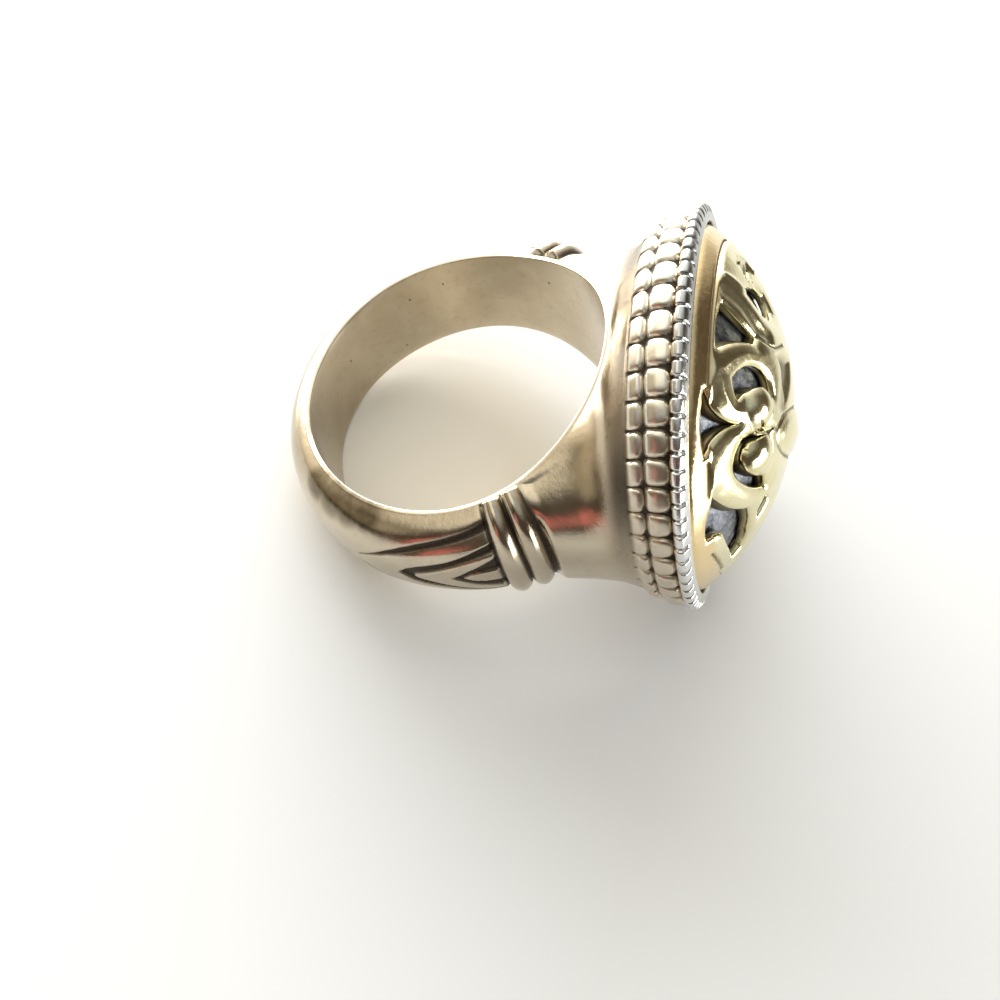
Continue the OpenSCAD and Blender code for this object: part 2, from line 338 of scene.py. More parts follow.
# Flared head: sections (distance from the finger axis, half-length across, half-width, squareness)
def flare_rho(x, phi):
    hy = pchip(x, (4.6, 8.6, 9.6, 10.2, 10.8), (9.86, 9.86, 9.87, 9.90, 9.95))
    hz = pchip(x, (4.6, 6.0, 6.8, 7.5, 8.2, 8.75, 9.2, 9.6, 10.1, 10.5, 10.8),
               (4.70, 4.86, 5.02, 5.24, 5.58, 5.98, 6.50, 7.16, 8.20, 9.14, 9.93))
    n = pchip(x, (4.6, 6.8, 7.5, 8.2, 8.75, 9.2, 9.6, 10.1, 10.5, 10.8), (2.9, 2.72, 2.60, 2.45, 2.35, 2.25, 2.15, 2.08, 2.03, 2.0))
    return (np.abs(np.cos(phi) / hy) ** n + np.abs(np.sin(phi) / hz) ** n) ** (-1 / n)


FLARE_END = 10.42
NA = np.linspace(-57, 57, 153)


def flare(band):
    side = band[0]            # section at +57 degrees, s from -1 to 1
    other = band[-1]          # section at -57 degrees
    ring = np.concatenate([side[:-1], bore_edge(NA[::-1], True)[:-1], other[::-1][:-1], bore_edge(NA, False)[:-1]])
    x0 = ring[:, 0]
    rho0 = np.hypot(ring[:, 1], ring[:, 2])
    phi = np.arctan2(ring[:, 2], ring[:, 1])
    t = np.linspace(0, 1, 40)
    t = 0.6 * t + 0.4 * t * t
    X = x0[:, None] + (FLARE_END - x0)[:, None] * t[None, :]
    base = flare_rho(X, phi[:, None])
    gap = rho0 - flare_rho(x0, phi)
    wire_side = smooth(np.abs(np.sin(phi)), 0.52, 0.30)      # 1 beside the wire, 0 beside the edge
    near = smooth(np.abs(np.sin(phi)), 0.86, 0.44)
    L = (FLARE_END - x0) * 0.95 * (1 - near) + 0.80 * near
    fade = 1 - smooth((X - x0[:, None]) / L[:, None], 0, 1)
    R = base + gap[:, None] * fade
    P = np.stack([X, R * np.cos(phi)[:, None], R * np.sin(phi)[:, None]], -1)
    P[:, 0] = ring
    ox = (1 - smooth(P[..., 0] - x0[:, None], 0.04, 0.30)) * wire_side[:, None]
    # darkening painted on the flare towards the scales, strongest at three places round the head: partly tarnish,
    # partly painted shade
    turn = (np.degrees(np.arctan2(P[..., 2], P[..., 1])) + 360) % 360
    side = sum(np.exp(-(((turn - c + 180) % 360 - 180) / 23) ** 2) for c in (32, 148, 328))
    end = smooth(P[..., 0], 9.05, 10.20) * (0.07 + 0.86 * side)
    return P, np.maximum(ox, end)


def bore_strip(soup):
    """Flat edges and the wall of the finger hole, with a round opening under the head."""
    deg_all = np.concatenate([NA, COLS[1:-1]])
    prof = ((BORE, 0.060), (BORE + 0.005, 0.032), (BORE + 0.022, 0.010), (BORE + 0.06, 0.0), (RIM_R - 0.05, 0.0), (RIM_R, 0.0))
    a = np.radians(deg_all)
    h = edge_half(deg_all)
    for sgn in (1, -1):
        P = np.stack([np.stack([r * np.cos(a), r * np.sin(a), sgn * (h - d)], -1) for r, d in prof], 1)
        soup.grid(P, wrap_u=True, flip=sgn < 0)
    nz = 15
    fz = np.linspace(-1, 1, nz)
    A1 = NA[int(np.argmin(np.abs(NA - 30)))]
    wall = deg_all[(deg_all >= A1 - 1e-9) & (deg_all <= 360 - A1 + 1e-9)]
    wall = np.concatenate([wall, [-A1 + 360.0]]) if wall[-1] < 360 - A1 - 1e-6 else wall
    more = NA[(NA < -A1 + 1e-9)] + 360
    wall = np.unique(np.round(np.concatenate([deg_all[(deg_all >= A1 - 1e-9)], more]), 9))
    wall = wall[wall <= 360 - A1 + 1e-6]
    a = np.radians(wall)
    h = edge_half(wall) - 0.060
    P = np.stack([np.repeat((BORE * np.cos(a))[:, None], nz, 1), np.repeat((BORE * np.sin(a))[:, None], nz, 1), h[:, None] * fz[None]], -1)
    soup.grid(P, ox=0.05)
    # patch with the round opening: from the opening's edge out to the patch's border
    inner = NA[(NA >= -A1 - 1e-9) & (NA <= A1 + 1e-9)]
    hi = edge_half(inner) - 0.060
    ha = float(edge_half(A1)) - 0.060
    border = ([(d, -v) for d, v in zip(inner[:-1], hi[:-1])] + [(A1, z) for z in (ha * fz)[:-1]]
              + [(d, v) for d, v in zip(inner[::-1][:-1], hi[::-1][:-1])] + [(-A1, z) for z in (ha * fz)[::-1][:-1]])
    border = np.array(border)
    bw, bz = np.radians(border[:, 0]) * BORE, border[:, 1]
    psi = np.arctan2(bz, bw)
    hole = 3.2
    rows = []
    for t in np.concatenate([[0, 0.012, 0.035], np.linspace(0.08, 1, 14)]):
        y = hole * np.cos(psi)
        w0 = BORE * np.arcsin(y / BORE)
        w = w0 * (1 - t) + bw * t
        z = hole * np.sin(psi) * (1 - t) + bz * t
        r = BORE + (0.05 if t == 0 else 0.012 if t < 0.02 else 0.0)
        rows.append(np.stack([r * np.cos(w / BORE), r * np.sin(w / BORE), z], -1))
    soup.grid(np.stack(rows, 1), wrap_u=True, ox=0.05)
    # tube up into the cup, and the cup's inside as far as the seat
    tube = [rows[0]]
    for x in (9.3, 9.9):
        tube.append(np.stack([np.full_like(psi, x), hole * np.cos(psi), hole * np.sin(psi)], -1))
    for x, r in ((10.06, 3.2), (10.1, 3.24), (10.1, 4.6), (10.1, 6.4), (10.6, 7.5), (11.1, 8.6), (12.0, 8.6), (12.96, 8.6), (13.0, 8.64), (13.0, 9.88), (13.04, 9.91), (13.3, 9.91)):
        tube.append(np.stack([np.full_like(psi, x), r * np.cos(psi), r * np.sin(psi)], -1))
    soup.grid(np.stack(tube, 1), wrap_u=True, ox=0.85)


def ring_body():
    soup = Soup()
    band, ox = band_outside()
    soup.grid(band, ox=ox)
    fl, fox = flare(band)
    soup.grid(fl, wrap_u=True, ox=fox)
    bore_strip(soup)
    return soup.make("ring_body", reverse=True)


# ---------------------------------------------------------------------------
# The two rows of scales round the head, one surface that grows out of the flare.
# Outline of one scale: along the row (0 at the middle, mm), across it (x, mm).
def scale_outline(row):
    w = rng.normal(0, 1, 8)
    if row == 0:
        c = [(-0.30, 10.20), (-0.42, 10.62), (-0.56 + 0.02 * w[0], 10.92), (-0.645, 11.18), (-0.61 + 0.02 * w[1], 11.38), (-0.46, 11.50), (-0.12, 11.545),
             (0.28, 11.54), (0.54, 11.46 + 0.01 * w[2]), (0.665, 11.30), (0.70 + 0.01 * w[3], 11.10), (0.78, 10.90), (0.90, 10.62), (1.02, 10.20)]
    else:
        c = [(-0.26, 11.565), (-0.50, 11.61 + 0.01 * w[0]), (-0.63, 11.74), (-0.675, 12.00), (-0.670 + 0.01 * w[1], 12.26), (-0.62, 12.52 + 0.03 * w[2]),
             (-0.48, 12.76), (-0.26, 12.90), (0.0, 12.95), (0.24, 12.93), (0.42 + 0.03 * w[3], 12.84), (0.56, 12.62), (0.63, 12.34),
             (0.675 + 0.01 * w[4], 12.02), (0.69, 11.78), (0.62, 11.63), (0.40, 11.575), (0.0, 11.56)]
    p = np.array(c)
    for _ in range(2):                      # round the corners
        q = np.roll(p, -1, 0)
        p = np.stack([0.75 * p + 0.25 * q, 0.25 * p + 0.75 * q], 1).reshape(-1, 2)
    p[:, 0] += 0.025 * w[5] * (p[:, 1] - p[:, 1].mean())
    return p


def scale_rows():
    # finer steps where the cuts between scales are
    f = np.linspace(0, 1, 400)
    cum = np.cumsum(1 + 2.2 * np.exp(-((f - 0.73) / 0.09) ** 2) + 1.6 * np.exp(-((f - 0.86) / 0.12) ** 2))
    cell = np.interp(np.linspace(cum[0], cum[-1], 29)[:-1], cum, f)
    th = (np.arange(SCALES)[:, None] + cell[None]).ravel() * 2 * math.pi / SCALES
    xs = np.concatenate([np.linspace(FLARE_END, 10.9, 12)[:-1], np.linspace(10.9, 12.86, 52), [12.93, 13.0]])
    T, X = np.meshgrid(th, xs, indexing="ij")
    base = flare_rho(X, T)
    w = smooth(X, 10.42, 10.95)
    floor = pchip(X, (10.40, 10.72, 11.10, 11.53, 11.80, 12.50, 13.0), (9.70, 9.80, 10.00, 10.08, 10.22, 10.38, 10.16))
    crown = pchip(X, (10.40, 10.72, 11.00, 11.25, 11.53, 11.80, 12.25, 12.60, 13.0), (9.70, 10.04, 10.22, 10.31, 10.34, 10.50, 10.60, 10.58, 10.38))
    floor = base * (1 - w) + floor * w
    crown = base * (1 - w) + np.maximum(crown, base) * w
    lift = np.zeros_like(X)
    gap = np.zeros_like(X)
    for row, (xc, phase) in enumerate(((11.1, math.radians(1.9)), (12.25, math.radians(1.15)))):
        pitch = 2 * math.pi / SCALES
        rad = 10.20 if row == 0 else 10.55
        stretch = pitch * rad / (1.392 if row == 0 else 1.440)
        cols = (xs < 11.553) if row == 0 else (xs >= 11.553)
        n = np.floor((th - phase) / pitch + 0.5).astype(int) % SCALES
        for k in range(SCALES):
            rows = np.where(n == k)[0]
            ang = (th[rows] - phase - k * pitch + math.pi) % (2 * math.pi) - math.pi
            a = (ang * rad / stretch)[:, None] + 0 * xs[cols][None]
            v = 0 * a + xs[cols][None]
            p = scale_outline(row)
            d, _ = dist_poly(a, v, p[:, 0], p[:, 1], closed=True)
            s = np.where(inside_poly(a, v, p[:, 0], p[:, 1]), d, -d)
            h = 0.66 * (1 - np.exp(-np.maximum(s, 0) / 0.055)) + 0.34 * (1 - (1 - np.clip(s / 0.52, 0, 1)) ** 2.6)
            tilt = 0.05 * rng.normal() * a / 0.7
            sub = np.ix_(rows, np.where(cols)[0])
            lift[sub] = h * (1 + tilt * smooth(s, 0, 0.3))
            gap[sub] = smooth(-s, -0.022, 0.020)
    R = floor + (crown - floor) * lift
    P = np.stack([X, R * np.cos(T), R * np.sin(T)], -1)
    ox = gap * smooth(X, 10.46, 10.74)
    # the flare's darkening carried onto the foot of the scales: partly tarnish, partly painted shade
    turn = np.degrees(T) % 360
    side = sum(np.exp(-(((turn - c + 180) % 360 - 180) / 23) ** 2) for c in (32, 148, 328))
    ox = np.maximum(ox, (0.07 + 0.86 * side) * (1 - smooth(X, 10.64, 10.88)))
    # painted shade on the end wall of the scales, beside the beads
    ox = np.maximum(ox, smooth(X, 12.76, 12.88))
    soup = Soup()
    soup.grid(P, wrap_u=True, ox=ox)
    return soup.make("scale_rows")


# Beaded rim: a rounded edge with a cut between each two beads, and a smooth slope down to the gold
RIM_PROFILE = ((12.88, 10.16), (12.84, 10.34), (12.85, 10.52), (12.91, 10.68), (13.01, 10.79), (13.14, 10.845), (13.28, 10.82), (13.39, 10.735),
               (13.475, 10.60), (13.545, 10.43), (13.60, 10.26), (13.64, 10.12), (13.65, 10.02), (13.62, 9.95), (13.55, 9.915), (13.40, 9.90))


def beaded_rim():
    per = 18
    th = np.linspace(0, 2 * math.pi, BEADS * per + 1)[:-1]
    pr = np.array(RIM_PROFILE)
    t = np.concatenate([[0], np.cumsum(np.hypot(*np.diff(pr, axis=0).T))])
    q = np.linspace(0, t[-1], 44)
    px, pR = pchip(q, t, pr[:, 0]), pchip(q, t, pr[:, 1])
    nx, nr = np.gradient(pR), -np.gradient(px)
    ln = np.hypot(nx, nr)
    nx, nr = -nx / ln, -nr / ln
    win = smooth(q, 0.12, 0.30) * (1 - smooth(q, 1.38, 1.52))
    T, Q = np.meshgrid(th, q, indexing="ij")
    f = T / (2 * math.pi) * BEADS
    c = np.abs(f - np.floor(f) - 0.5) * 2               # 0 at a cut, 1 in the middle of a bead
    wob = rng.normal(0, 1, (BEADS, 3))
    at_cut = np.floor(f).astype(int) % BEADS
    bead = np.floor(f + 0.5).astype(int) % BEADS
    half = 0.27 + 0.05 * wob[at_cut, 0]
    deep = 0.20 + 0.02 * wob[at_cut, 1]
    v = np.clip(1 - c / half, 0, 1)
    cut = deep * v * win[None]
    swell = 0.018 * (1 - (1 - c) ** 2) * win[None] + 0.010 * wob[bead, 2] * win[None]
    d = swell - cut
    X = px[None] + nx[None] * d
    R = pR[None] + nr[None] * d
    P = np.stack([X, R * np.cos(T), R * np.sin(T)], -1)
    ox = smooth(v, 0.45, 0.95) * win[None] * (1 - smooth(Q, 1.0, 1.3)) * 0.9
    ox = np.maximum(ox, 1 - smooth(Q, 0.05, 0.22))
    soup = Soup()
    soup.grid(P, wrap_u=True, ox=ox)
    return soup.make("beaded_rim")


# ---------------------------------------------------------------------------
# Pierced gold dome. Outlines, corner by corner: side, out, bulge of the edge
# to the next corner; the other half of the dome mirrors them.
OPENINGS = {
    "rim_tip": ((-0.72, 7.20, -0.18), (0.98, 9.04, 0.09), (-2.24, 8.78, -0.18)),
    "right_tip": ((3.22, 5.35, 0), (3.60, 4.95, -0.06), (5.22, 6.60, 0.09), (2.90, 8.02, -0.08)),
    "left_tip": ((-5.02, 4.30, -0.08), (-4.30, 7.52, 0.10), (-6.50, 6.40, -0.12), (-6.30, 5.30, 0.04), (-7.95, 1.20, 0),
                 (-7.35, 1.10, 0.06), (-6.30, 2.55, 0.04)),
    "right_crescent": ((0.70, 4.30, 0.20), (2.12, 5.70, 0.13), (1.50, 7.46, 0.06), (0.42, 7.22, -0.18)),
    "left_crescent": ((-3.93, 3.30, -0.07), (-3.55, 6.10, -0.26), (-1.50, 6.72, -0.06), (-1.18, 4.90, 0.06), (-1.66, 6.36, 0.22),
                      (-3.02, 5.98, 0.05), (-3.34, 3.85, 0)),
    "lobe_slit": ((-1.06, 4.85, 0.02), (-0.42, 6.15, 0.16)),
    "right_oval": ((6.02, 0.95, 0.10), (6.28, 2.60, 0.08), (5.90, 4.25, 0.04), (4.86, 3.45, 0.06), (4.62, 1.95, 0.07), (5.10, 0.78, 0.12)),
    "right_spot": ((7.20, 1.75, 0.14), (6.62, 3.05, 0.10)),
    "left_spot": ((-5.70, 1.90, 0), (-4.70, 1.50, 0.05), (-4.50, 2.75, 0.05), (-5.15, 2.88, 0.03)),
}
HOLLOW = ((0.35, 2.95, 0.10), (2.55, 0.90, 0.12), (2.75, 3.75, -0.12))
LOBES = ((-2.18, 5.32, 1.08, 0.42), (0.10, 5.78, 1.04, 0.44))
PETAL = (-1.15, 1.30, 3.95, 0.34)          # middle, half-width, half-length, rise
# raised crests: points, half-width in mm, height
CRESTS = (
    (((6.52, 5.80), (6.24, 5.30), (6.02, 4.85), (5.94, 4.35)), 0.46, 0.12),
    (((7.35, 3.30), (7.75, 2.50), (7.65, 1.60), (7.10, 1.20)), 0.22, 0.12),
    (((-6.75, 6.30), (-6.30, 6.62), (-5.70, 6.55)), 0.22, 0.12),
)
# engraved lines: points, half-width
LINES = (
    (((3.62, 5.00), (3.33, 4.40), (3.05, 3.54), (3.25, 2.2)), 0.07),
    (((-7.23, 5.32), (-7.75, 4.10), (-8.24, 2.81)), 0.06),
    (((-1.12, 4.78), (-0.80, 4.30), (-0.95, 3.99)), 0.05),
)
DIPS = ((((5.70, 6.10), (5.10, 5.45), (4.10, 4.75), (3.60, 4.00)), 0.42, 0.17),
        (((0.20, 3.30), (1.20, 3.00), (2.20, 2.60)), 0.50, 0.12))


def outline(t, step=0.06):
    """Even points along an outline, as arrays of side and out."""
    pts = []
    for i, p in enumerate(t):
        q = t[(i + 1) % len(t)]
        dx, dy = q[0] - p[0], q[1] - p[1]
        n = max(3, int(math.hypot(dx, dy) * (1 + 2 * abs(p[2])) / step))
        f = np.arange(n) / n
        k = 4 * p[2] * f * (1 - f)
        pts.append(np.stack([p[0] + f * dx + k * dy, p[1] + f * dy - k * dx], -1))
    return np.concatenate(pts)


def seg_sdf(q, A, B, loops):
    """Signed distance of points to all outlines together: positive on metal. Also the nearest loop's number."""
    d = B - A
    L = (d * d).sum(1) + 1e-12
    out = np.empty(len(q))
    near = np.empty(len(q), int)
    for s in range(0, len(q), 1500):
        p = q[s:s + 1500]
        w = p[:, None] - A[None]
        t = np.clip((w * d[None]).sum(-1) / L[None], 0, 1)
        e = np.hypot(w[..., 0] - t * d[None, :, 0], w[..., 1] - t * d[None, :, 1])
        k = e.argmin(1)
        out[s:s + 1500] = e[np.arange(len(p)), k]
        near[s:s + 1500] = loops[k]
    return out, near


def dome():
    outlines = []
    for t in OPENINGS.values():
        o = outline(t)
        outlines.append(o)
        outlines.append(o[::-1] * np.array([1, -1]))
    A = np.concatenate(outlines)
    B = np.concatenate([np.roll(o, -1, 0) for o in outlines])
    loops = np.concatenate([np.full(len(o), i) for i, o in enumerate(outlines)])

    def opened(q):
        c = np.zeros(len(q), bool)
        for o in outlines:
            lo, hi = o.min(0) - 0.01, o.max(0) + 0.01
            m = (q >= lo).all(1) & (q <= hi).all(1)
            if m.any():
                c[m] |= inside_poly(q[m, 0], q[m, 1], o[:, 0], o[:, 1])
        return c

    # points: the outlines, lines beside them, rings at the border line and the rim, and a field of points
    pts = [A]
    offs = (0.035, 0.08, 0.14, 0.22)
    for o in outlines:
        tang = np.roll(o, -1, 0) - np.roll(o, 1, 0)
        tang /= np.maximum(np.linalg.norm(tang, axis=1, keepdims=True), 1e-9)
        area = 0.5 * np.sum(o[:, 0] * np.roll(o[:, 1], -1) - np.roll(o[:, 0], -1) * o[:, 1])
        n = np.stack([tang[:, 1], -tang[:, 0]], -1) * (1 if area > 0 else -1)
        for k, d in enumerate(offs):
            c = o[::(1 if k < 3 else 2)] + n[::(1 if k < 3 else 2)] * d
            sd, _ = seg_sdf(c, A, B, loops)
            keep = (sd > 0.93 * d) & ~opened(c) & (np.hypot(c[:, 0], c[:, 1]) < 9.8)
            pts.append(c[keep])
    ring_r = (9.86, 9.84, 9.78, 9.66, 9.06, 9.00, 8.955, 8.915, 8.885, 8.845, 8.80, 8.74)
    rings = []
    for k, r in enumerate(ring_r):
        n = 560
        a = (np.arange(n) + 0.5 * (k % 2)) / n * 2 * math.pi
        rings.append(np.stack([r * np.cos(a), r * np.sin(a)], -1))
    ringpts = np.concatenate(rings)
    h = 0.092
    gx, gy = np.meshgrid(np.arange(-9.6, 9.6, h), np.arange(-9.6, 9.6, h * 0.866), indexing="ij")
    gx = gx + (np.arange(gx.shape[1]) % 2)[None] * h * 0.5
    field = np.stack([gx.ravel(), gy.ravel()], -1)
    rr = np.hypot(field[:, 0], field[:, 1])
    field = field[(rr < 9.58) & ~((rr > 8.68) & (rr < 9.12))]
    for extra in (ringpts, field):
        sd, _ = seg_sdf(extra, A, B, loops)
        ins = opened(extra)
        lim = 0.27 if extra is field else 0.05
        outer = np.hypot(extra[:, 0], extra[:, 1]) > 9.85
        pts.append(extra[((sd > lim) & ~ins) | outer])
    allp = np.concatenate(pts)
    # constraint edges along the outlines, which are the first points
    edges, base = [], 0
    for o in outlines:
        n = len(o)
        edges += [(base + i, base + (i + 1) % n) for i in range(n)]
        base += n

    def triangulate(p):
        r = delaunay_2d_cdt([Vector(v) for v in p], edges, [], 0, 1e-5)
        v = np.array([tuple(c) for c in r[0]])
        f = np.array([t for t in r[2] if len(t) == 3])
        c = v[f].mean(1)
        f = f[~opened(c) & (np.hypot(c[:, 0], c[:, 1]) < 9.86)]
        area = np.cross(v[f[:, 1]] - v[f[:, 0]], v[f[:, 2]] - v[f[:, 0]])
        f = f[np.abs(area) > 1e-9]
        area = np.cross(v[f[:, 1]] - v[f[:, 0]], v[f[:, 2]] - v[f[:, 0]])
        f[area < 0] = f[area < 0][:, ::-1]
        return v, f

    v, f = triangulate(allp)
    sd, near = seg_sdf(v, A, B, loops)
    on_edge = sd < 1e-4
    sd = np.where(on_edge, 0, sd)
    u, w = v[:, 0], np.abs(v[:, 1])
    r = np.hypot(v[:, 0], v[:, 1])
    rel, dark = dome_relief(u, w, r, sd)

    def place(p, height):
        """Plan point and height above the dome's sphere, along its normal, to the ring's frame."""
        rad = np.hypot(p[:, 0], p[:, 1])
        z0 = np.sqrt(DOME_R**2 - rad**2)
        R = DOME_R + height
        k = R / DOME_R
        U, W, Z = p[:, 0] * k, p[:, 1] * k, z0 * k
        return to_ring(U, W, Z + DOME_C)

    soup = Soup()
    top = place(v, rel)
    soup.add(top, [f], dark)
    # walls of the openings: straight down to the underside, painted darker towards the bottom as painted shade
    edge_rel, _ = dome_relief(A[:, 0], np.abs(A[:, 1]), np.hypot(A[:, 0], A[:, 1]), np.zeros(len(A)))
    base = 0
    for o in outlines:
        n = len(o)
        er = edge_rel[base:base + n]
        base += n
        rows = [place(o, er)]
        for drop in (0.10, 0.28):
            rows.append(place(o, er - drop))
        rad = np.hypot(o[:, 0], o[:, 1])
        k = (DOME_R - DOME_WALL)
        rows.append(to_ring(o[:, 0], o[:, 1], np.sqrt(np.maximum(k * k - rad**2, 0)) + DOME_C))
        turned_back = np.sum(o[:, 0] * np.roll(o[:, 1], -1) - np.roll(o[:, 0], -1) * o[:, 1]) < 0
        soup.grid(np.stack(rows, 1), wrap_u=True, ox=np.repeat(np.array([0.0, 0.25, 0.75, 1.0])[None], n, 0).ravel(), flip=turned_back)
    # underside, coarse, and the rim's edge, both painted dark as painted shade
    a = np.arange(240) / 240 * 2 * math.pi
    low = [A]
    fx, fy = np.meshgrid(np.arange(-9.4, 9.4, 0.5), np.arange(-9.4, 9.4, 0.5), indexing="ij")
    fld = np.stack([fx.ravel(), fy.ravel()], -1)
    fld = fld[np.hypot(fld[:, 0], fld[:, 1]) < 9.3]
    sdl, _ = seg_sdf(fld, A, B, loops)
    low.append(fld[(sdl > 0.15) & ~opened(fld)])
    low.append(np.stack([9.45 * np.cos(a), 9.45 * np.sin(a)], -1))
    lv, lf = triangulate(np.concatenate(low))
    rad = np.hypot(lv[:, 0], lv[:, 1])
    k = DOME_R - DOME_WALL
    soup.add(to_ring(lv[:, 0], lv[:, 1], np.sqrt(k * k - rad**2) + DOME_C), [lf[:, ::-1]], 1.0)
    n = 560
    a = np.arange(n) / n * 2 * math.pi
    zt = DOME_C + math.sqrt(DOME_R**2 - DOME_EDGE**2)
    rim = []
    er, _ = dome_relief(np.full(n, 0.0), np.full(n, 0.0), np.full(n, 9.86), np.full(n, 5.0))
    kk = (DOME_R + er) / DOME_R
    rim.append(to_ring(9.86 * np.cos(a) * kk, 9.86 * np.sin(a) * kk, DOME_C + (zt - DOME_C) * kk))
    rim.append(to_ring(9.86 * np.cos(a), 9.86 * np.sin(a), np.full(n, 13.2)))
    rim.append(to_ring(9.86 * np.cos(a), 9.86 * np.sin(a), np.full(n, 13.05)))
    zi = DOME_C + math.sqrt(k * k - 9.45**2)
    rim.append(to_ring(9.45 * np.cos(a), 9.45 * np.sin(a), np.full(n, zi)))
    soup.grid(np.stack(rim, 1), wrap_u=True, ox=0.6, flip=True)
    return soup.make("pierced_dome", recalc=False)


def to_ring(U, W, Z):
    """Dome's plan (side, out) and height on the head's axis to the ring's frame."""
    c, s = math.cos(PATTERN_TURN), math.sin(PATTERN_TURN)
    px, py = U * c - W * s, U * s + W * c
    return np.stack([Z, py, -px], -1)


def dome_relief(u, w, r, sd):
    """Height above the dome's sphere in mm, and how dark it is."""
    rel = np.zeros_like(u)
    dark = np.zeros_like(u)
    inside = 1 - smooth(r, 8.72, 8.86)
    # soft pillows between the openings
    pillow = 0.22 * (1 - np.exp(-(sd / 0.62) ** 1.4)) - 0.13
    rel += pillow * inside
    for pts, wide, rise in CRESTS:
        d, q = dist_poly(u, w, [p[0] for p in pts], [p[1] for p in pts])
        body = wide * (0.35 + 0.65 * np.sin(math.pi * np.clip(q, 0.06, 0.94)) ** 0.7)
        rel += rise * (0.5 + 0.5 * np.cos(math.pi * np.clip(d / body, 0, 1))) * inside
    # dips in the gold, painted darker as painted shade
    for pts, wide, deep in DIPS:
        d, q = dist_poly(u, w, [p[0] for p in pts], [p[1] for p in pts])
        g = np.exp(-(d / wide) ** 2) * inside
        rel -= deep * g
        dark = np.maximum(dark, 0.40 * g)
    # rim band, slightly hollow between the line and its outer edge
    rel += (1 - inside) * (-0.02 - 0.10 * smooth(r, 9.60, 9.86))
    # bevelled edge of each opening
    rel -= 0.11 * (1 - np.clip(sd / 0.20, 0, 1)) ** 1.7
    # border line, lost close to an opening
    keep = smooth(sd, 0.16, 0.42)
    g = np.exp(-((r - 8.94) / 0.050) ** 2) * keep * smooth(u, -5.2, -4.0)
    rel -= 0.13 * g
    dark = np.maximum(dark, g ** 0.7)
    # lobes
    for lu, lv, lr, rise in LOBES:
        R = (lr * lr + rise * rise) / (2 * rise)
        d = np.hypot(u - lu, w - lv)
        cap = np.sqrt(np.maximum(R * R - np.minimum(d, R) ** 2, 0)) - (R - rise)
        rel = np.maximum(rel, np.where(d < lr * 1.05, cap, -9))
        ring = np.exp(-((d - lr * 1.03) / 0.05) ** 2)
        rel -= 0.03 * ring * smooth(sd, 0.02, 0.15)
        dark = np.maximum(dark, 0.5 * ring * smooth(sd, 0.05, 0.2))
    # petal: pointed oval with a crease round it
    e = PETAL[1] * (1 - (np.abs((u - PETAL[0]) / PETAL[1]) ** 2 + (w / PETAL[2]) ** 2.5) ** 0.5)
    up = smooth(e, 0.0, 0.4)
    rel = np.where(e > 0, rel * (1 - up) + (0.05 + PETAL[3] * np.sqrt(np.clip(e / PETAL[1], 0, 1))) * up, rel)
    crease = np.exp(-(e / 0.050) ** 2)
    rel -= 0.10 * crease
    dark = np.maximum(dark, 0.9 * crease)
    for pts, wide in LINES:
        d, q = dist_poly(u, w, [p[0] for p in pts], [p[1] for p in pts])
        g = np.exp(-(d / wide) ** 2) * smooth(sd, 0.0, 0.10)
        rel -= 0.11 * g
        dark = np.maximum(dark, 0.95 * g)
    # shallow hollow beside the petal, painted dark as painted shade
    ho = outline(HOLLOW)
    dh, _ = dist_poly(u, w, ho[:, 0], ho[:, 1], closed=True)
    hin = inside_poly(u, w, ho[:, 0], ho[:, 1])
    s = np.where(hin, dh, -dh)
    rel -= 0.26 * smooth(s, -0.12, 0.55)
    dark = np.maximum(dark, 0.74 * smooth(s, 0.0, 0.6))
    return rel, dark


# ---------------------------------------------------------------------------
# Materials
def new_material(name):
    m = bpy.data.materials.new(name)
    m.use_nodes = True
    nt = m.node_tree
    nt.nodes.clear()
    out = nt.nodes.new("ShaderNodeOutputMaterial")
    bsdf = nt.nodes.new("ShaderNodeBsdfPrincipled")
    nt.links.new(bsdf.outputs[0], out.inputs[0])
    return m, nt, bsdf


